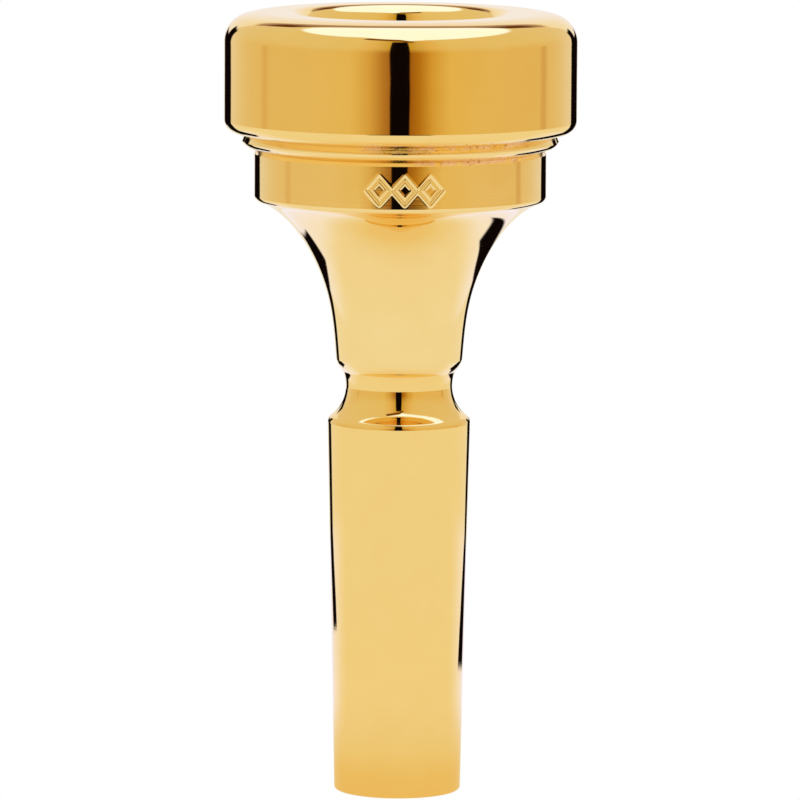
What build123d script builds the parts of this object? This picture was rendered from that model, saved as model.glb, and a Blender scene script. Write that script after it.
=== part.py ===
"""Flugelhorn mouthpiece in three screw-together sections: rim, cup and shank.

Millimetres. The axis of the bore is Z, the shank's end face lies on Z = 0 and
the rim is at the top. Every section is turned, so each is one outline of
(radius, height) points revolved about Z.
"""
import os
from math import acos, cos, degrees, radians, sin, sqrt, tan

from build123d import *

# ---- overall heights -------------------------------------------------------
LOWER_JOINT_Z = 33.08    # shank meets cup, at the top of the waist
BAND_TOP_Z = 50.17       # top of the plain band round the cup
UPPER_JOINT_Z = 51.64    # cup meets rim, in the crease above the bead
RIM_CREST_Z = 61.15      # highest ring of the rim, where the lips rest

# ---- shank -----------------------------------------------------------------
SHANK_END_R = 4.94
SHANK_TOP_R = 5.575      # largest radius of the tapered shank
SHANK_EDGE = 0.12        # chamfer round the end face
SHOULDER_ROUND = 0.65    # rounded top of the shank, tangent to the cove above it
COVE_R = 3.0             # hollow turned between the shank and the cup
COVE_TOP_ANGLE = 22.5    # where it meets the lower joint
WAIST_R = 4.16           # thinnest place, at the bottom of the cove
COVE_Z = 31.93
BACKBORE_END_R = 3.8
BACKBORE_EDGE = 0.15     # chamfer at the exit of the backbore
THROAT_R = 2.0
THROAT_BOTTOM_Z = 33.12
THROAT_EDGE = 0.2        # chamfer at the top of the throat

# ---- cup -------------------------------------------------------------------
FOOT_ROUND = (4.70, 33.48)      # middle of the rounded foot, just above the lower joint
FOOT_TOP = (4.93, 34.02)
BELL = [(4.98, 34.62), (5.50, 38.56), (6.83, 42.16), (8.74, 44.86), (11.09, 46.47)]
BELL_END_SLOPE = 20.0    # degrees above the horizontal, where the bell meets the band
BAND_ROUND = 0.45        # rounded lower edge of the band
CREASE = (11.20, 50.42)  # between the band and the bead
BEAD_UNDERSIDE = (11.95, 50.72)
BEAD_BELLY = (12.17, 50.87)
BEAD_EDGE = (12.35, 51.15)      # widest ring of the bead
CUP_MOUTH_R = 6.85       # inside of the cup at the top of its spigot
BOWL = [(5.15, 51.4), (3.5, 44.8)]    # the deep bowl is close to a cone

# ---- rim -------------------------------------------------------------------
RIM_R = 13.75
RIM_UNDERSIDE_SLOPE = 14.0
RIM_LOWER_ROUND = 1.0
RIM_LOWER_Z = 52.82      # bottom of the straight outside wall
RIM_SHOULDER_R = 2.15    # outer corner of the rim contour
RIM_SHOULDER_SWEEP = 76.0
RIM_CROWN_R = 7.0        # gentle crown that carries on from the corner
RIM_CREST_R = 8.8        # inner end of the flat crest
RIM_BITE_R = 1.4         # inner edge of the rim contour
RIM_BITE_SWEEP = 74.0

# ---- threaded joints -------------------------------------------------------
SEAT_GAP = 0.05          # free height above each spigot, so the outer shoulders seat first
THREAD_PLAY = 0.05       # radial room between the male crests and the female wall
LEAD_IN = 0.4            # chamfer on spigots and sockets


class Thread:
    """A spigot that stands up from a joint, and the socket that goes over it."""

    def __init__(self, joint_z, length, crest_r, depth, pitch):
        self.joint_z = joint_z
        self.top_z = joint_z + length
        self.crest_r = crest_r
        self.root_r = crest_r - depth
        self.depth = depth
        self.pitch = pitch
        self.start_z = joint_z + 1.2 * pitch
        self.turns = int((length - 1.2 * pitch - LEAD_IN) / pitch)
        self.socket_r = crest_r + THREAD_PLAY

    def ridges(self, low_r, high_r, shift=0.0):
        """Points up a row of V ridges with narrow flats, one ridge for each turn."""
        points = []
        for turn in range(self.turns):
            z = self.start_z + shift + turn * self.pitch
            points += [
                (low_r, z),
                (high_r, z + 0.36 * self.pitch),
                (high_r, z + 0.50 * self.pitch),
                (low_r, z + 0.86 * self.pitch),
            ]
        return points

    def spigot(self, bore_r):
        """Outside of the spigot from its undercut to the lip of its bore."""
        return [
            (self.root_r, self.joint_z),
            *self.ridges(self.root_r, self.crest_r),
            (self.root_r, self.top_z - LEAD_IN),
            (self.root_r - LEAD_IN / 2, self.top_z),
            (bore_r, self.top_z),
        ]

    def socket(self, bore_r):
        """Inside of the socket from the joint face up to the lip of the bore above it."""
        floor_z = self.top_z + SEAT_GAP
        return [
            (self.socket_r + LEAD_IN, self.joint_z),
            (self.socket_r, self.joint_z + LEAD_IN),
            *self.ridges(self.socket_r, self.socket_r + self.depth * 0.8),
            (self.socket_r, floor_z),
            (bore_r, floor_z),
        ]


RIM_THREAD = Thread(UPPER_JOINT_Z, length=6.4, crest_r=10.0, depth=0.5, pitch=0.9)
SHANK_THREAD = Thread(LOWER_JOINT_Z, length=6.2, crest_r=3.5, depth=0.45, pitch=0.75)


def cove_point(angle):
    """Point of the cove at this angle above or below its thinnest place."""
    turn = radians(angle)
    return (WAIST_R + COVE_R * (1 - cos(turn)), COVE_Z + COVE_R * sin(turn))


# ---- rim -------------------------------------------------------------------
underside_turn = radians(RIM_UNDERSIDE_SLOPE)
underside_r = RIM_R - RIM_LOWER_ROUND * (1 - sin(underside_turn))
underside_z = RIM_LOWER_Z - RIM_LOWER_ROUND * cos(underside_turn)
joint_r = underside_r - (underside_z - UPPER_JOINT_Z) / tan(underside_turn)
inner_joint_z = RIM_THREAD.top_z + SEAT_GAP
shoulder_turn = radians(RIM_SHOULDER_SWEEP)
rim_wall_top_z = (
    RIM_CREST_Z
    - RIM_SHOULDER_R * sin(shoulder_turn)
    - RIM_CROWN_R * (1 - sin(shoulder_turn))
)

with BuildPart() as rim:
    with BuildSketch(Plane.XZ):
        with BuildLine():
            # outside wall, and the lower edge rounding in to the sloped underside
            Line((RIM_R, RIM_LOWER_Z), (RIM_R, rim_wall_top_z))
            lower_edge = JernArc(
                start=(RIM_R, RIM_LOWER_Z),
                tangent=(0, -1),
                radius=RIM_LOWER_ROUND,
                arc_size=-(90 - RIM_UNDERSIDE_SLOPE),
            )
            Line(lower_edge @ 1, (joint_r, UPPER_JOINT_Z))
            # top contour: corner, crown, flat crest and bite
            corner = JernArc(
                start=(RIM_R, rim_wall_top_z),
                tangent=(0, 1),
                radius=RIM_SHOULDER_R,
                arc_size=RIM_SHOULDER_SWEEP,
            )
            crown = JernArc(
                start=corner @ 1,
                tangent=corner % 1,
                radius=RIM_CROWN_R,
                arc_size=90 - RIM_SHOULDER_SWEEP,
            )
            crest = Line(crown @ 1, (RIM_CREST_R, RIM_CREST_Z))
            bite = JernArc(
                start=crest @ 1,
                tangent=(-1, 0),
                radius=RIM_BITE_R,
                arc_size=RIM_BITE_SWEEP,
            )
            # inner wall down to the joint, then the threaded socket
            Line(bite @ 1, (CUP_MOUTH_R, inner_joint_z))
            Polyline((joint_r, UPPER_JOINT_Z), *RIM_THREAD.socket(CUP_MOUTH_R))
        make_face()
    revolve(axis=Axis.Z)

# ---- cup -------------------------------------------------------------------
bell_end_turn = radians(BELL_END_SLOPE)
socket_face_r, _ = cove_point(COVE_TOP_ANGLE)

with BuildPart() as cup:
    with BuildSketch(Plane.XZ):
        with BuildLine():
            # rounded foot above the lower joint, then the bell
            ThreePointArc((socket_face_r, LOWER_JOINT_Z), FOOT_ROUND, FOOT_TOP)
            Line(FOOT_TOP, BELL[0])
            bell = Spline(
                *BELL,
                tangents=[(0.08, 1.0), (cos(bell_end_turn), sin(bell_end_turn))],
            )
            band_edge = JernArc(
                start=bell @ 1,
                tangent=(cos(bell_end_turn), sin(bell_end_turn)),
                radius=BAND_ROUND,
                arc_size=90 - BELL_END_SLOPE,
            )
            # band, crease and bead
            Polyline(
                band_edge @ 1,
                ((band_edge @ 1).X, BAND_TOP_Z),
                CREASE,
                BEAD_UNDERSIDE,
            )
            ThreePointArc(BEAD_UNDERSIDE, BEAD_BELLY, BEAD_EDGE)
            Polyline(
                BEAD_EDGE,
                (joint_r, UPPER_JOINT_Z),
                *RIM_THREAD.spigot(CUP_MOUTH_R),
            )
            # the bowl, and the socket for the shank
            Spline(
                (CUP_MOUTH_R, RIM_THREAD.top_z),
                *BOWL,
                (THROAT_R, SHANK_THREAD.top_z + SEAT_GAP),
                tangents=[(-0.27, -1.0), (-0.26, -1.0)],
            )
            Polyline((socket_face_r, LOWER_JOINT_Z), *SHANK_THREAD.socket(THROAT_R))
        make_face()
    revolve(axis=Axis.Z)

# ---- shank -----------------------------------------------------------------
# the shoulder's round and the cove touch where the line between their centres crosses them
reach = COVE_R + SHOULDER_ROUND
across = WAIST_R + COVE_R - (SHANK_TOP_R - SHOULDER_ROUND)
shoulder_z = COVE_Z - sqrt(reach**2 - across**2)
shoulder_sweep = degrees(acos(across / reach))
cove_top = (cove_point(COVE_TOP_ANGLE)[0], LOWER_JOINT_Z)
print(f"taper 1:{shoulder_z / (SHANK_TOP_R - SHANK_END_R) / 2:.1f}, shoulder at z {shoulder_z:.2f}")

with BuildPart() as shank:
    with BuildSketch(Plane.XZ):
        with BuildLine():
            # end face, tapered outside and the rounded shoulder at its top
            Polyline(
                (BACKBORE_END_R, BACKBORE_EDGE),
                (BACKBORE_END_R + BACKBORE_EDGE, 0),
                (SHANK_END_R - SHANK_EDGE, 0),
                (SHANK_END_R, SHANK_EDGE),
                (SHANK_TOP_R, shoulder_z),
            )
            shoulder = JernArc(
                start=(SHANK_TOP_R, shoulder_z),
                tangent=(0, 1),
                radius=SHOULDER_ROUND,
                arc_size=shoulder_sweep,
            )
            # cove up to the lower joint, then the threaded spigot
            ThreePointArc(shoulder @ 1, (WAIST_R, COVE_Z), cove_top)
            Polyline(cove_top, *SHANK_THREAD.spigot(THROAT_R + THROAT_EDGE))
            # throat, and the backbore that opens towards the end
            Polyline(
                (THROAT_R + THROAT_EDGE, SHANK_THREAD.top_z),
                (THROAT_R, SHANK_THREAD.top_z - THROAT_EDGE),
                (THROAT_R, THROAT_BOTTOM_Z),
                (BACKBORE_END_R, BACKBORE_EDGE),
            )
        make_face()
    revolve(axis=Axis.Z)

# ---- files -----------------------------------------------------------------
os.makedirs("parts", exist_ok=True)
for piece, name in ((rim, "rim"), (cup, "cup"), (shank, "shank")):
    piece.part.label = name
    export_step(piece.part, f"parts/{name}.step")
    box = piece.part.bounding_box()
    print(f"{name}: {piece.part.volume:.1f} mm3, z {box.min.Z:.2f} to {box.max.Z:.2f}")
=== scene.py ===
"""Polished gold mouthpiece in a white studio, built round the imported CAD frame."""
from math import acos, atan2, ceil, cos, degrees, hypot, pi, radians, sin, sqrt, tan

import bpy
import numpy as np
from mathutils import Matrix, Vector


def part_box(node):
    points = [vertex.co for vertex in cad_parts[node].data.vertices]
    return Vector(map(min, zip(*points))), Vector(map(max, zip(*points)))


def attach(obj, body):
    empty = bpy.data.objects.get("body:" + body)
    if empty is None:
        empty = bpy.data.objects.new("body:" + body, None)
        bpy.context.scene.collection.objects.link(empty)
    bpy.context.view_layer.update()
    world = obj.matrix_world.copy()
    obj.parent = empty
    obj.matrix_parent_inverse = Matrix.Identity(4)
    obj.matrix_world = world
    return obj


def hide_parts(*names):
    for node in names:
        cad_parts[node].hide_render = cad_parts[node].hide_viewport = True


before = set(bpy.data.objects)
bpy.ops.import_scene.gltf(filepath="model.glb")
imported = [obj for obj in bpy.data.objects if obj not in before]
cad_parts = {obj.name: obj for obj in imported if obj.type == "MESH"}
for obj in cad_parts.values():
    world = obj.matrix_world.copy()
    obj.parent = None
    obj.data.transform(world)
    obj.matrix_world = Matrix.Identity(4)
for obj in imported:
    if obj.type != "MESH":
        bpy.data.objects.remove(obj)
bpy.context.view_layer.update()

MM = 0.001

# ---- heights and radii read from the frame, in millimetres ------------------


def node_size(node):
    """Bottom, top and outside radius of a node; the frame's facets touch the true circle."""
    low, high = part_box(node)
    return round(low[2] / MM, 2), round(high[2] / MM, 2), round((high[0] - low[0]) / 2 / MM, 2)


UPPER_JOINT_Z, RIM_CREST_Z, RIM_R = node_size("rim")
LOWER_JOINT_Z, CUP_TOP_Z, BEAD_R = node_size("cup")
_, SHANK_TOP_Z, SHANK_R = node_size("shank")

# ---- details of each section, in millimetres, as in the CAD outlines --------
SEAT_GAP = 0.05
THREAD_PLAY = 0.05
LEAD_IN = 0.4

RIM_LOWER_Z = 52.82
RIM_LOWER_ROUND = 1.0
RIM_UNDERSIDE_SLOPE = 14.0
RIM_SHOULDER_R, RIM_SHOULDER_SWEEP = 2.15, 76.0
RIM_CROWN_R = 7.0
RIM_CREST_R = 8.8
RIM_BITE_R, RIM_BITE_SWEEP = 1.4, 74.0
CUP_MOUTH_R = 6.85

FOOT_ROUND, FOOT_TOP = (4.70, 33.48), (4.93, 34.02)
BELL = [(4.98, 34.62), (5.50, 38.56), (6.83, 42.16), (8.74, 44.86), (11.09, 46.47)]
BELL_START_WAY, BELL_END_SLOPE = (0.08, 1.0), 20.0
BAND_TOP_Z = 50.17
BAND_ROUND = 0.45
CREASE = (11.20, 50.42)
BEAD_UNDERSIDE, BEAD_BELLY, BEAD_EDGE = (11.95, 50.72), (12.17, 50.87), (BEAD_R, 51.15)
BOWL = [(5.15, 51.4), (3.5, 44.8)]
BOWL_START_WAY, BOWL_END_WAY = (-0.27, -1.0), (-0.26, -1.0)

# generic mark engraved on the band: three lozenges in a row
BAND_R = 11.56
MARK_BEARING, MARK_Z = 1.9, 48.35
MARK_SPACING, MARK_HALF_SIZE = 2.0, (0.82, 0.92)
MARK_STROKE, MARK_DEPTH = 0.2, 0.11
MARK_BURR, MARK_BURR_WIDTH = 0.02, 0.08
MARK_MARGIN, MARK_FADE = (0.45, 0.42), (0.2, 0.15)     # round the mark, across and up

THROAT_R, THROAT_EDGE = 2.0, 0.2
THROAT_BOTTOM_Z = 33.12
BACKBORE_END_R, BACKBORE_EDGE = 3.8, 0.15
SHANK_END_R, SHANK_EDGE = 4.94, 0.12
SHOULDER_ROUND = 0.65
WAIST_R, COVE_R, COVE_Z = 4.16, 3.0, 31.93
COVE_TOP = 22.5          # degrees above the waist

# ---- fineness of the meshes -------------------------------------------------
ARC_STEP = 4.0           # degrees of turn between two points of a round stretch
BELL_STEPS, BOWL_STEPS = 14, 8
BAND_ROWS = 56
COLUMNS = 180            # round the rim and the shank
MARK_SPAN, MARK_COLUMN = (-15, 19), 0.3    # bearings with narrow columns, and their width
OTHER_COLUMNS = 164      # round the rest of the cup

# ---- outlines ---------------------------------------------------------------

def unit(v):
    return np.array(v, float) / np.linalg.norm(v)


def smooth(t):
    """Eases a share between 0 and 1 at both of its ends."""
    return t * t * (3 - 2 * t)


class Outline:
    """A closed outline of (radius, height), drawn with the metal on its left.

    Each run keeps its own exact normals, so tangent runs shade as one surface and
    a corner between two runs stays sharp.
    """

    def __init__(self, start):
        self.end = np.array(start, float)
        self.runs = []

    def _add(self, points, tangents, relief=None):
        points = np.array(points, float)
        tangents = np.array([unit(t) for t in tangents])
        normals = np.column_stack([tangents[:, 1], -tangents[:, 0]])
        self.runs.append((points, normals, relief))
        self.end = points[-1]

    def line(self, *corners):
        for corner in corners:
            corner = np.array(corner, float)
            way = corner - self.end
            if hypot(*way) > 1e-6:
                self._add([self.end, corner], [way, way])

    def rows(self, top, count, relief):
        """An upright wall cut in many rows, so that a relief can be worked into it."""
        heights = np.linspace(self.end[1], top, count + 1)
        radius = self.end[0]
        way = (0.0, top - self.end[1])
        self._add([(radius, z) for z in heights], [way] * (count + 1), relief)

    def turn(self, tangent, radius, sweep):
        """An arc that starts along tangent and turns left through sweep degrees."""
        side = 1.0 if sweep > 0 else -1.0
        tangent = unit(tangent)
        centre = self.end + side * radius * np.array([-tangent[1], tangent[0]])
        start = atan2(*(self.end - centre)[::-1])
        steps = ceil(abs(sweep) / ARC_STEP)
        angles = start + np.radians(np.linspace(0, sweep, steps + 1))
        points = [centre + radius * np.array([cos(a), sin(a)]) for a in angles]
        points[0] = self.end
        self._add(points, [(-side * sin(a), side * cos(a)) for a in angles])

    def through(self, middle, end):
        """An arc from here through one point to another."""
        a, b, c = self.end, np.array(middle, float), np.array(end, float)
        rows = 2 * np.array([b - a, c - a])
        centre = np.linalg.solve(rows, [b @ b - a @ a, c @ c - a @ a])
        radius = hypot(*(a - centre))
        first, last = (atan2(*(p - centre)[::-1]) for p in (a, c))
        left = (b - a)[0] * (c - b)[1] - (b - a)[1] * (c - b)[0] > 0
        sweep = (last - first) % (2 * pi) if left else -((first - last) % (2 * pi))
        steps = max(2, ceil(abs(degrees(sweep)) / ARC_STEP))
        angles = first + np.linspace(0, sweep, steps + 1)
        points = [centre + radius * np.array([cos(t), sin(t)]) for t in angles]
        points[0], points[-1] = a, c
        side = 1.0 if left else -1.0
        self._add(points, [(-side * sin(t), side * cos(t)) for t in angles])

    def curve(self, stations, first_way, last_way, steps):
        """A smooth cubic curve from here through the stations, with set directions at its ends."""
        p = np.array([self.end, *stations], float)
        h = np.linalg.norm(np.diff(p, axis=0), axis=1)
        matrix, rhs = np.eye(len(p)), np.zeros((len(p), 2))
        rhs[0], rhs[-1] = unit(first_way), unit(last_way)
        for k in range(1, len(p) - 1):
            matrix[k, k - 1:k + 2] = h[k], 2 * (h[k - 1] + h[k]), h[k - 1]
            rhs[k] = 3 * (h[k] * (p[k] - p[k - 1]) / h[k - 1] + h[k - 1] * (p[k + 1] - p[k]) / h[k])
        slopes = np.linalg.solve(matrix, rhs)
        points, tangents = [], []
        for k, length in enumerate(h):
            last = k == len(h) - 1
            for t in np.linspace(0, 1, steps + 1)[: None if last else -1]:
                points.append(
                    (1 + 2 * t) * (1 - t) ** 2 * p[k] + t * (1 - t) ** 2 * length * slopes[k]
                    + t * t * (3 - 2 * t) * p[k + 1] + t * t * (t - 1) * length * slopes[k + 1]
                )
                tangents.append(
                    6 * t * (t - 1) * (p[k] - p[k + 1]) + (1 - t) * (1 - 3 * t) * length * slopes[k]
                    + t * (3 * t - 2) * length * slopes[k + 1]
                )
        points[0], points[-1] = p[0], p[-1]
        self._add(points, tangents)


def turned(name, outline, azimuths):
    """Revolves a closed outline about Z into a closed mesh with exact normals."""
    columns = len(azimuths)
    swing = np.array([np.sin(azimuths), -np.cos(azimuths)])
    positions, faces, normals = [], [], []
    first_row = 0
    last_run = len(outline.runs) - 1
    for k, (points, across, relief) in enumerate(outline.runs):
        radius = np.repeat(points[:, :1], columns, axis=1)
        height = np.repeat(points[:, 1:], columns, axis=1)
        if relief is None:
            n_r = np.repeat(across[:, :1], columns, axis=1)
            n_z = np.repeat(across[:, 1:], columns, axis=1)
            n_a = np.zeros_like(n_r)
        else:
            radius = radius + across[0, 0] * relief(azimuths[None, :], height)
            slope_z = np.gradient(radius, points[:, 1], axis=0)
            wrapped = np.column_stack([radius[:, -1], radius, radius[:, 0]])
            turns = np.r_[azimuths[-1] - 2 * pi, azimuths, azimuths[0] + 2 * pi]
            slope_a = np.gradient(wrapped, turns, axis=1)[:, 1:-1] / radius
            n_r = np.full_like(radius, across[0, 0])
            n_z, n_a = -across[0, 0] * slope_z, -across[0, 0] * slope_a
        length = np.sqrt(n_r ** 2 + n_z ** 2 + n_a ** 2)
        grid = np.stack(
            [
                (n_r * swing[0] - n_a * swing[1]) / length,
                (n_r * swing[1] + n_a * swing[0]) / length,
                n_z / length,
            ],
            axis=-1,
        )
        rows = len(points) - 1
        positions.append(
            np.stack([radius * swing[0], radius * swing[1], height], axis=-1)[:-1].reshape(-1, 3)
        )
        row_of = first_row + np.arange(rows + 1)
        if k == last_run:
            row_of[-1] = 0
        first_row += rows
        i, j = np.meshgrid(np.arange(rows), np.arange(columns), indexing="ij")
        i, j = i.ravel(), j.ravel()
        nxt = (j + 1) % columns
        low, high = row_of[i] * columns, row_of[i + 1] * columns
        faces.append(np.column_stack([low + j, low + nxt, high + nxt, high + j]))
        normals.append(
            np.stack([grid[i, j], grid[i, nxt], grid[i + 1, nxt], grid[i + 1, j]], axis=1)
        )
    mesh = bpy.data.meshes.new(name)
    mesh.from_pydata((np.concatenate(positions) * MM).tolist(), [], np.concatenate(faces).tolist())
    mesh.polygons.foreach_set("use_smooth", [True] * len(mesh.polygons))
    mesh.normals_split_custom_set(np.concatenate(normals).reshape(-1, 3).tolist())
    mesh.update()
    piece = bpy.data.objects.new(name, mesh)
    bpy.context.scene.collection.objects.link(piece)
    return piece


# ---- threads ----------------------------------------------------------------
THREAD_START = 0.9       # pitches from the joint to the first ridge
THREAD_FADE = 1.4        # a thread is at full height after one pitch divided by this
THREAD_ROWS = 14         # rows of the mesh in each pitch
RIDGE_TOP, RIDGE_FLANK = 1.35, 3.1     # breadth of a ridge and steepness of its flanks
SOCKET_SHARE = 0.8       # depth of the socket's thread against the spigot's


class Thread:
    """The spigot on one section and the socket on the next."""

    def __init__(self, joint_z, top_z, crest_r, depth, pitch):
        self.joint_z, self.top_z = joint_z, top_z
        self.root_r, self.depth, self.pitch = crest_r - depth, depth, pitch
        self.socket_r = crest_r + THREAD_PLAY
        self.start_z = joint_z + THREAD_START * pitch
        self.end_z = top_z - LEAD_IN
        self.rows = ceil((self.end_z - self.start_z) / pitch * THREAD_ROWS)

    def helix(self, depth):
        """Relief of a right-hand thread that fades out at both of its ends."""

        def relief(azimuth, z):
            phase = ((z - self.start_z) / self.pitch - azimuth / (2 * pi)) % 1.0
            ridge = np.clip(RIDGE_TOP - RIDGE_FLANK * np.abs(phase - 0.5), 0.0, 1.0)
            fade_in = np.clip((z - self.start_z) / self.pitch * THREAD_FADE, 0, 1)
            fade_out = np.clip((self.end_z - z) / self.pitch * THREAD_FADE, 0, 1)
            return depth * smooth(ridge) * fade_in * fade_out

        return relief

    def spigot(self, outline, bore_r):
        outline.line((self.root_r, self.joint_z), (self.root_r, self.start_z))
        outline.rows(self.end_z, self.rows, self.helix(self.depth))
        outline.line((self.root_r - LEAD_IN / 2, self.top_z), (bore_r, self.top_z))

    def socket(self, outline):
        """From the floor of the socket down to the joint face."""
        outline.line((self.socket_r, self.top_z + SEAT_GAP), (self.socket_r, self.end_z))
        outline.rows(self.start_z, self.rows, self.helix(-SOCKET_SHARE * self.depth))
        outline.line(
            (self.socket_r, self.joint_z + LEAD_IN), (self.socket_r + LEAD_IN, self.joint_z)
        )


rim_thread = Thread(UPPER_JOINT_Z, CUP_TOP_Z, crest_r=10.0, depth=0.5, pitch=0.9)
shank_thread = Thread(LOWER_JOINT_Z, SHANK_TOP_Z, crest_r=3.5, depth=0.45, pitch=0.75)


def cove_point(angle):
    turned_by = radians(angle)
    return (WAIST_R + COVE_R * (1 - cos(turned_by)), COVE_Z + COVE_R * sin(turned_by))


# ---- the three sections -----------------------------------------------------
underside_turn = radians(RIM_UNDERSIDE_SLOPE)
UNDERSIDE = (
    RIM_R - RIM_LOWER_ROUND * (1 - sin(underside_turn)),
    RIM_LOWER_Z - RIM_LOWER_ROUND * cos(underside_turn),
)
JOINT_R = UNDERSIDE[0] - (UNDERSIDE[1] - UPPER_JOINT_Z) / tan(underside_turn)


def rim_outline():
    corner = radians(RIM_SHOULDER_SWEEP)
    wall_top = RIM_CREST_Z - RIM_SHOULDER_R * sin(corner) - RIM_CROWN_R * (1 - sin(corner))
    o = Outline((JOINT_R, UPPER_JOINT_Z))
    o.line(UNDERSIDE)
    along = (cos(underside_turn), sin(underside_turn))
    o.turn(along, RIM_LOWER_ROUND, 90 - RIM_UNDERSIDE_SLOPE)
    o.line((RIM_R, wall_top))
    o.turn((0, 1), RIM_SHOULDER_R, RIM_SHOULDER_SWEEP)
    o.turn((-sin(corner), cos(corner)), RIM_CROWN_R, 90 - RIM_SHOULDER_SWEEP)
    o.line((RIM_CREST_R, RIM_CREST_Z))
    o.turn((-1, 0), RIM_BITE_R, RIM_BITE_SWEEP)
    o.line((CUP_MOUTH_R, CUP_TOP_Z + SEAT_GAP), (rim_thread.socket_r, CUP_TOP_Z + SEAT_GAP))
    rim_thread.socket(o)
    o.line((JOINT_R, UPPER_JOINT_Z))
    return o


def lozenges(azimuth, z):
    """Three lozenges cut into the band by hand, with a slight burr along each stroke."""
    turn = (azimuth - radians(MARK_BEARING) + pi) % (2 * pi) - pi
    across, up = BAND_R * turn, z - MARK_Z
    wide, tall = MARK_HALF_SIZE
    relief = 0.0
    for place in (-MARK_SPACING, 0.0, MARK_SPACING):
        edge = np.abs(np.abs((across - place) / wide) + np.abs(up / tall) - 1.0)
        edge = edge * wide * tall / hypot(wide, tall)
        groove = np.clip(1.0 - edge / MARK_STROKE, 0.0, 1.0)
        burr = np.exp(-((edge - MARK_STROKE * 1.15) / MARK_BURR_WIDTH) ** 2)
        relief = relief - MARK_DEPTH * smooth(groove) + MARK_BURR * burr
    for off, size, margin, fade in zip(
        (across, up), (MARK_SPACING + wide, tall), MARK_MARGIN, MARK_FADE
    ):
        relief = relief * np.clip((size + margin - np.abs(off)) / fade, 0, 1)
    return relief


def cup_outline():
    slope = radians(BELL_END_SLOPE)
    foot_r = cove_point(COVE_TOP)[0]
    o = Outline((foot_r, LOWER_JOINT_Z))
    o.through(FOOT_ROUND, FOOT_TOP)
    o.line(BELL[0])
    o.curve(BELL[1:], BELL_START_WAY, (cos(slope), sin(slope)), BELL_STEPS)
    o.turn((cos(slope), sin(slope)), BAND_ROUND, 90 - BELL_END_SLOPE)
    o.rows(BAND_TOP_Z, BAND_ROWS, lozenges)
    o.line(CREASE, BEAD_UNDERSIDE)
    o.through(BEAD_BELLY, BEAD_EDGE)
    o.line((JOINT_R, UPPER_JOINT_Z))
    rim_thread.spigot(o, CUP_MOUTH_R)
    bowl = [*BOWL, (THROAT_R, SHANK_TOP_Z + SEAT_GAP)]
    o.curve(bowl, BOWL_START_WAY, BOWL_END_WAY, BOWL_STEPS)
    o.line((shank_thread.socket_r, SHANK_TOP_Z + SEAT_GAP))
    shank_thread.socket(o)
    o.line((foot_r, LOWER_JOINT_Z))
    return o


def shank_outline():
    reach, across = COVE_R + SHOULDER_ROUND, WAIST_R + COVE_R - (SHANK_R - SHOULDER_ROUND)
    shoulder_z = COVE_Z - sqrt(reach ** 2 - across ** 2)
    shoulder_sweep = degrees(acos(across / reach))
    cove_top = cove_point(COVE_TOP)
    o = Outline((BACKBORE_END_R, BACKBORE_EDGE))
    o.line((BACKBORE_END_R + BACKBORE_EDGE, 0), (SHANK_END_R - SHANK_EDGE, 0))
    o.line((SHANK_END_R, SHANK_EDGE))
    o.line((SHANK_R, shoulder_z))
    o.turn((0, 1), SHOULDER_ROUND, shoulder_sweep)
    o.through((WAIST_R, COVE_Z), (cove_top[0], LOWER_JOINT_Z))
    shank_thread.spigot(o, THROAT_R + THROAT_EDGE)
    o.line((THROAT_R, SHANK_TOP_Z - THROAT_EDGE), (THROAT_R, THROAT_BOTTOM_Z))
    o.line((BACKBORE_END_R, BACKBORE_EDGE))
    return o


even = np.radians(np.linspace(0, 360, COLUMNS, endpoint=False))
mark_start, mark_end = MARK_SPAN
fine_at_mark = np.radians(np.r_[
    np.arange(mark_start, mark_end, MARK_COLUMN),
    np.linspace(mark_end, mark_start + 360, OTHER_COLUMNS, endpoint=False),
])
pieces = {
    "rim": turned("rim_turned", rim_outline(), even),
    "cup": turned("cup_turned", cup_outline(), fine_at_mark),
    "shank": turned("shank_turned", shank_outline(), even),
}
for body, piece in pieces.items():
    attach(piece, body)
    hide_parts(body)


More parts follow.
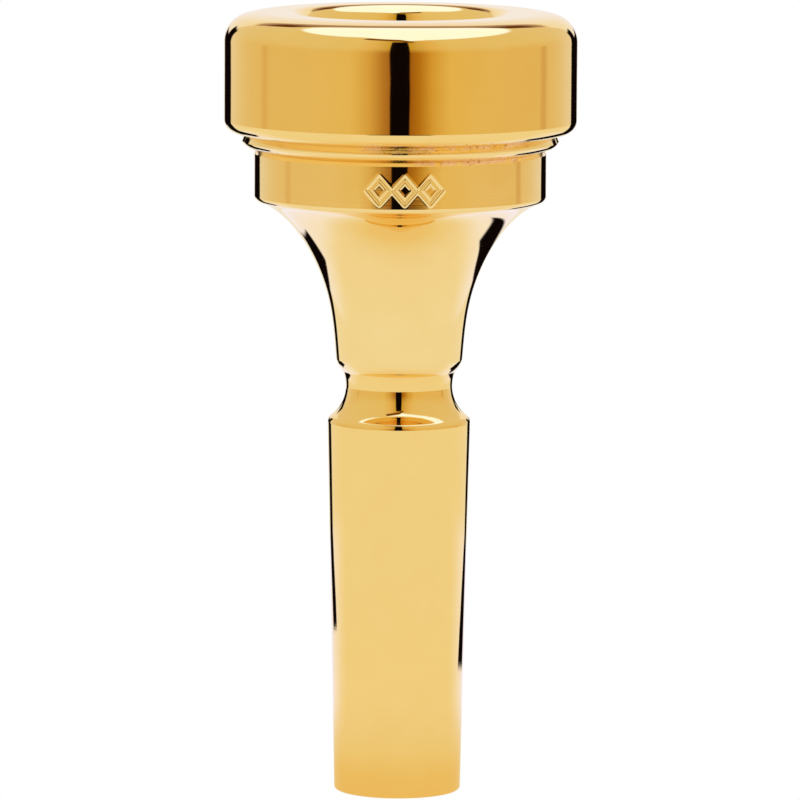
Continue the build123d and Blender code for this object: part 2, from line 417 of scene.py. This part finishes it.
# ---- node helper ------------------------------------------------------------
class Nodes:
    """Short names for the few shader nodes that the materials and the studio use."""

    def __init__(self, tree):
        self.tree = tree

    def add(self, kind, **settings):
        node = self.tree.nodes.new(kind)
        for name, value in settings.items():
            setattr(node, name, value)
        return node

    def feed(self, socket, value):
        if isinstance(value, bpy.types.NodeSocket):
            self.tree.links.new(value, socket)
        elif isinstance(value, tuple) and len(value) == 3 and len(socket.default_value) == 4:
            socket.default_value = (*value, 1.0)
        else:
            socket.default_value = value

    def math(self, operation, *values):
        node = self.add("ShaderNodeMath", operation=operation)
        for socket, value in zip(node.inputs, values):
            self.feed(socket, value)
        return node.outputs[0]

    def step(self, value, low, high):
        """0 below low, 1 above high and a smooth rise between; falls if low is above high."""
        node = self.add("ShaderNodeMapRange", interpolation_type="SMOOTHSTEP")
        for name, given in (("Value", value), ("From Min", low), ("From Max", high)):
            self.feed(node.inputs[name], given)
        return node.outputs["Result"]

    def window(self, value, low, high, soft):
        """1 between low and high, 0 outside, with soft edges."""
        rise = self.step(value, low - soft, low + soft)
        fall = self.step(value, high + soft, high - soft)
        return self.math("MULTIPLY", rise, fall)

    def both(self, *masks):
        product = masks[0]
        for mask in masks[1:]:
            product = self.math("MULTIPLY", product, mask)
        return product

    def mix(self, mask, below, above):
        node = self.add("ShaderNodeMix", data_type="RGBA")
        factor, colour_a, colour_b = (node.inputs[k] for k in (0, 6, 7))
        for socket, value in ((factor, mask), (colour_a, below), (colour_b, above)):
            self.feed(socket, value)
        return node.outputs[2]

    def ramp(self, value, stops):
        """Colours at set places along 0 to 1."""
        node = self.add("ShaderNodeValToRGB")
        elements = node.color_ramp.elements
        elements[0].position, elements[1].position = stops[0][0], stops[-1][0]
        for place, _ in stops[1:-1]:
            elements.new(place)
        for element, (_, colour) in zip(elements, stops):
            element.color = (*colour, 1.0)
        self.feed(node.inputs[0], value)
        return node.outputs[0]

    def reach(self, x, y):
        """Distance from the object's axis."""
        squares = [self.math("MULTIPLY", way, way) for way in (x, y)]
        return self.math("SQRT", self.math("ADD", *squares))

    def bearing(self, x, y):
        """Degrees round from the front of the object, -180 to 180, positive to its right."""
        angle = self.math("ARCTAN2", x, self.math("MULTIPLY", y, -1.0))
        return self.math("MULTIPLY", angle, 180 / pi)


# ---- gold -------------------------------------------------------------------
# Lengths are in millimetres and bearings in degrees, unless they say otherwise.
CREASES = [(50.24, 50.80, (5, 62)), (51.50, 52.02, (-14, 50))]   # low, high, bearings
CREASE_INSIDE_R = 10.5   # nothing nearer the axis than this is part of a crease
TONES = (0.985, 0.97, 0.93), (1.015, 1.03, 1.07)       # least and most, times the plate
# paler pink patches and darker pits in the creases at the front right
PALE_PINK_PATCH, PIT_SHADE = (1.0, 0.78, 0.56), (0.62, 0.30, 0.10)
ROUGH_LEAST, ROUGH_CLOUDS, ROUGH_CREASE, ROUGH_PINK = 0.025, 0.03, 0.12, 0.15
WAVE_HEIGHT, RING_HEIGHT, PIT_HEIGHT = 0.000012, 0.0000004, 0.000008     # metres
# gold of each section; they differ slightly, and the shank's deeper tint is painted reflection
# standing in for the floor glow it mirrors
PLATE_WITH_PAINTED_TINT = {"rim": (0.98, 0.725, 0.275), "cup": (0.985, 0.755, 0.335), "shank": (0.975, 0.71, 0.265)}


def gold_plate(name, colour):
    """Polished plate with faint turning rings, soft waves and pits in the creases."""
    gold = bpy.data.materials.new(name)
    gold.use_nodes = True
    n = Nodes(gold.node_tree)
    shader = gold.node_tree.nodes["Principled BSDF"]
    where = n.add("ShaderNodeTexCoord").outputs["Object"]
    place = n.add("ShaderNodeSeparateXYZ")
    n.feed(place.inputs[0], where)
    x, y, z = place.outputs
    bearing = n.bearing(x, y)
    radius, z = (n.math("MULTIPLY", way, 1 / MM) for way in (n.reach(x, y), z))

    def noise(scale, detail, dimensions="3D", value=None):
        grain = n.add("ShaderNodeTexNoise", noise_dimensions=dimensions)
        if value is None:
            n.feed(grain.inputs["Vector"], where)
        else:
            n.feed(grain.inputs["W"], value)
        n.feed(grain.inputs["Scale"], scale)
        n.feed(grain.inputs["Detail"], detail)
        return grain.outputs["Fac"]

    def bump(height, distance, below=None):
        node = n.add("ShaderNodeBump")
        n.feed(node.inputs["Height"], height)
        n.feed(node.inputs["Distance"], distance)
        if below is not None:
            n.feed(node.inputs["Normal"], below)
        return node.outputs[0]

    outside = n.step(radius, CREASE_INSIDE_R, CREASE_INSIDE_R + 0.3)
    around, creases = 0.0, 0.0
    for low, high, (start, end) in CREASES:
        here = n.both(n.window(z, low, high, 0.05), outside)
        around = n.math("ADD", here, around)
        creases = n.math("ADD", n.both(here, n.window(bearing, start, end, 6.0)), creases)
    grain = noise(3300.0, 3.0)
    pink = n.both(creases, n.step(noise(900.0, 2.0), 0.40, 0.52))
    pits = n.both(creases, n.step(grain, 0.61, 0.66))

    darker, lighter = (tuple(c * share for c, share in zip(colour, tone)) for tone in TONES)
    tone = n.mix(noise(420.0, 2.0), darker, lighter)
    tone = n.mix(n.math("MULTIPLY", pink, 0.9), tone, PALE_PINK_PATCH)
    n.feed(shader.inputs["Base Color"], n.mix(n.math("MULTIPLY", pits, 0.7), tone, PIT_SHADE))
    shader.inputs["Metallic"].default_value = 1.0
    rough = ROUGH_LEAST
    clouds = noise(600.0, 3.0)
    for mask, amount in ((clouds, ROUGH_CLOUDS), (around, ROUGH_CREASE), (pink, ROUGH_PINK)):
        rough = n.math("ADD", rough, n.math("MULTIPLY", mask, amount))
    n.feed(shader.inputs["Roughness"], rough)
    waves = bump(noise(250.0, 1.0), WAVE_HEIGHT)
    rings = bump(noise(1.0, 1.0, "1D", n.math("MULTIPLY", z, 7.0)), RING_HEIGHT, waves)
    n.feed(shader.inputs["Normal"], bump(n.both(grain, creases), PIT_HEIGHT, rings))
    return gold


for body, piece in pieces.items():
    piece.data.materials.append(gold_plate(f"gold_{body}", PLATE_WITH_PAINTED_TINT[body]))

# ---- studio -----------------------------------------------------------------
# A white-floored light tent: warm side walls, a narrow dark opening in front for
# the lens, a large softbox overhead, a white back wall and two dark gaps beside it.
# Every place in it is a bearing round the object and a height above the horizon,
# both in degrees.
SOFTBOX = (1.03, 1.33, 2.3)
SOFTBOX_FRAME = (0.17, 0.06, 0.0)
SIDE_WASH = (0.80, 0.76, 0.60)      # paler light on the left
WALL_JOIN = (0.5, 0.2, 0.0)
BACK_WALL = (0.93, 0.90, 0.92)
LINTEL = (0.42, 0.27, 0.25)
LINTEL_CORNER = (0.12, 0.04, 0.01)
FAR_FLOOR = (0.90, 0.82, 0.72)
DARK = (0.004, 0.002, 0.002)
WHITE = (1.0, 1.0, 1.0)
LOW_WALLS = [       # level with the object
    (0, (0.30, 0.11, 0.0)), (7, (0.36, 0.13, 0.0)), (12, (0.47, 0.21, 0.01)),
    (20, (0.67, 0.41, 0.09)), (33, (0.79, 0.59, 0.24)), (60, (0.79, 0.61, 0.31)),
    (100, (0.78, 0.60, 0.32)), (120, (0.79, 0.65, 0.43)), (140, (0.82, 0.75, 0.66)),
    (180, (0.82, 0.75, 0.66)),
]
HIGH_WALLS = [      # well above it
    (0, (0.60, 0.35, 0.05)), (8, (0.62, 0.41, 0.06)), (12, (0.67, 0.47, 0.16)),
    (20, (0.79, 0.56, 0.24)), (33, (0.80, 0.66, 0.38)), (60, (0.80, 0.68, 0.44)),
    (100, (0.80, 0.69, 0.47)), (140, (0.80, 0.70, 0.52)), (180, (0.80, 0.70, 0.52)),
]
SOFTBOX_EDGE = [    # bearing, and how high the softbox starts there
    (-180, 46), (-150, 51), (-95, 60), (-50, 68), (-25, 66), (0, 63), (9, 57), (25, 60),
    (50, 60), (85, 57), (115, 52), (150, 47), (180, 46),
]
GAPS = [            # from, to, and the top of each step of the two gaps
    (-167, -147.5, 4), (-157, -146, 15), (148, 170, 2), (149, 158, 12),
]


def studio_world():
    """The light tent as the world's colour; the camera itself sees plain white."""
    world = bpy.data.worlds.new("studio")
    world.use_nodes = True
    tree = world.node_tree
    n = Nodes(tree)
    way = n.add("ShaderNodeSeparateXYZ")
    tree.links.new(n.add("ShaderNodeTexCoord").outputs["Generated"], way.inputs[0])
    bearing = n.bearing(way.outputs[0], way.outputs[1])
    off_front = n.math("ABSOLUTE", bearing)
    height = n.math("MULTIPLY", n.math("ARCSINE", way.outputs[2]), 180 / pi)

    share = n.math("DIVIDE", off_front, 180.0)
    low, high = (
        n.ramp(share, [(at / 180, tint) for at, tint in walls]) for walls in (LOW_WALLS, HIGH_WALLS)
    )
    colour = n.mix(n.step(height, 2.0, 28.0), low, high)
    left_side = n.math("MULTIPLY", n.step(bearing, 25.0, -40.0), 0.14)
    colour = n.mix(left_side, colour, SIDE_WASH)
    joins = n.math("ADD", n.window(bearing, 104, 110, 2.5), n.window(bearing, -101, -98, 4.0))
    joins = n.both(joins, n.step(height, 10, 4))
    colour = n.mix(n.math("MULTIPLY", joins, 0.35), colour, WALL_JOIN)
    colour = n.mix(n.step(height, -5.9, -6.5), colour, FAR_FLOOR)

    behind = n.step(off_front, 150, 153)
    colour = n.mix(n.both(behind, n.step(height, 30, 26)), colour, BACK_WALL)
    colour = n.mix(n.both(behind, n.window(height, 30, 46, 1.5)), colour, LINTEL)
    corner = n.both(n.window(off_front, 151, 165, 2.0), n.window(height, 35, 45, 2.0))
    colour = n.mix(corner, colour, LINTEL_CORNER)
    for west, east, top in GAPS:
        gap = n.both(n.window(bearing, west, east, 0.7), n.step(height, top + 1.5, top - 1.5))
        colour = n.mix(gap, colour, DARK)

    slit = n.both(n.window(bearing, -7.0, 6.0, 0.5), n.step(height, 54, 50))
    colour = n.mix(slit, colour, DARK)
    slit_foot = n.both(n.step(off_front, 24, 18), n.window(height, -9.8, -6.0, 0.3))
    colour = n.mix(slit_foot, colour, DARK)

    place = n.math("ADD", n.math("DIVIDE", bearing, 360.0), 0.5)
    edge = n.ramp(place, [(at / 360 + 0.5, (level / 100,) * 3) for at, level in SOFTBOX_EDGE])
    over = n.math("SUBTRACT", height, n.math("MULTIPLY", edge, 100.0))
    frame_bar = n.both(n.window(bearing, -38, 11, 2.5), n.window(over, -8.0, -1.5, 1.5))
    colour = n.mix(frame_bar, colour, SOFTBOX_FRAME)
    colour = n.mix(n.step(over, -1.5, 1.5), colour, SOFTBOX)

    seen = n.add("ShaderNodeLightPath").outputs["Is Camera Ray"]
    colour = n.mix(seen, colour, WHITE)
    tree.links.new(colour, tree.nodes["Background"].inputs["Color"])
    bpy.context.scene.world = world


def emitting(name, colour_of):
    """A material that glows with the colour that colour_of builds from a Nodes helper."""
    material = bpy.data.materials.new(name)
    material.use_nodes = True
    tree = material.node_tree
    tree.nodes.clear()
    n = Nodes(tree)
    glow = n.add("ShaderNodeEmission")
    n.feed(glow.inputs["Color"], colour_of(n))
    tree.links.new(glow.outputs[0], n.add("ShaderNodeOutputMaterial").inputs["Surface"])
    return material


def disc(name, radius, height, material):
    """A flat round sheet of the studio floor."""
    corners = [(radius * cos(t), radius * sin(t), height) for t in np.linspace(0, 2 * pi, 97)[:-1]]
    mesh = bpy.data.meshes.new(name)
    mesh.from_pydata(corners, [], [tuple(range(len(corners)))])
    mesh.materials.append(material)
    sheet = bpy.data.objects.new(name, mesh)
    bpy.context.scene.collection.objects.link(sheet)
    return sheet


# painted shadow: the paper is warmer and dimmer near the object, standing in for its contact shadow
# and gold bounce
PAPER_WITH_PAINTED_SHADOW = [           # distance from the object in metres, and the colour there
    (0.0, (0.86, 0.68, 0.38)), (0.012, (0.86, 0.70, 0.42)), (0.018, (0.87, 0.76, 0.54)),
    (0.026, (0.885, 0.81, 0.68)), (0.04, (0.90, 0.85, 0.76)), (0.1, (0.895, 0.865, 0.80)),
    (1.0, (0.895, 0.88, 0.84)),
]
# painted sheen: paper paler and bluer behind the object, so the gold's reflections there whiten as
# at grazing angles
REAR_PAINTED_SHEEN = (0.95, 0.97, 1.28)
GAP_SOFT = 1.2


def floor_glow(n):
    """White paper, warmer and dimmer near the object with painted contact shadow and painted gold
    bounce, paler and bluer behind it as painted sheen, and cut by the two gaps.
    """
    place = n.add("ShaderNodeSeparateXYZ")
    n.tree.links.new(n.add("ShaderNodeTexCoord").outputs["Object"], place.inputs[0])
    x, y = place.outputs[:2]
    reach, bearing = n.reach(x, y), n.bearing(x, y)
    # behind the object the paper is paler and bluer: painted sheen for the gold's grazing
    # reflections
    rear_sheen = n.step(n.math("ABSOLUTE", bearing), 95, 135)
    rear_sheen = n.both(rear_sheen, n.window(reach, 0.034, 0.13, 0.012))
    # the ramp by distance paints the object's contact shadow and gold bounce onto the paper
    colour = n.mix(rear_sheen, n.ramp(reach, PAPER_WITH_PAINTED_SHADOW), REAR_PAINTED_SHEEN)

    # the edges of the gaps run at a slant: their bearing changes with the distance
    slant = n.math("MULTIPLY", n.math("MINIMUM", reach, 0.13), 255.0)
    outer_slant = n.math("MULTIPLY", n.math("MINIMUM", reach, 0.2), 108.0)
    west = n.window(n.math("ADD", bearing, slant), -127.0, -109.0, GAP_SOFT)
    west = n.both(west, n.step(reach, 0.073, 0.079))
    past_inner, past_outer = (
        n.step(n.math("SUBTRACT", bearing, lean), edge - GAP_SOFT, edge + GAP_SOFT)
        for lean, edge in ((slant, 113.2), (outer_slant, 146.5))
    )
    east = n.both(past_inner, n.math("SUBTRACT", 1.0, past_outer))
    east = n.both(east, n.step(reach, 0.054, 0.060))
    return n.mix(n.math("ADD", west, east), colour, DARK)


studio_world()
# the paper is seen only in reflections, the plain white floor only by the camera
mirrored_floor = disc("floor_paper", 0.30, 0.0, emitting("paper", floor_glow))
mirrored_floor.visible_camera = False
shown_floor = disc("floor", 4.0, -0.0002, emitting("white_floor", lambda n: WHITE))
shown_floor.visible_glossy = False

bpy.context.scene.view_settings.view_transform = "Standard"

# ---- camera -----------------------------------------------------------------
CAMERA_DISTANCE = 0.580
CAMERA_HEIGHT = 0.1055
CAMERA_SIDE = 0.00008    # a little to the right of the axis
CAMERA_ROLL = 0.30       # degrees
AIM_Z = 0.030756
LENS, SENSOR_WIDTH = 336.5, 36.0       # millimetres
CLIP_END = 10.0

camera = bpy.data.objects.new("camera", bpy.data.cameras.new("camera"))
bpy.context.scene.collection.objects.link(camera)
camera.data.lens = LENS
camera.data.sensor_width = SENSOR_WIDTH
camera.data.clip_end = CLIP_END
camera.location = (CAMERA_SIDE, -CAMERA_DISTANCE, CAMERA_HEIGHT)
tilt = atan2(CAMERA_HEIGHT - AIM_Z, CAMERA_DISTANCE)
camera.rotation_mode = "ZXY"
camera.rotation_euler = (pi / 2 - tilt, 0, radians(CAMERA_ROLL))
bpy.context.scene.camera = camera
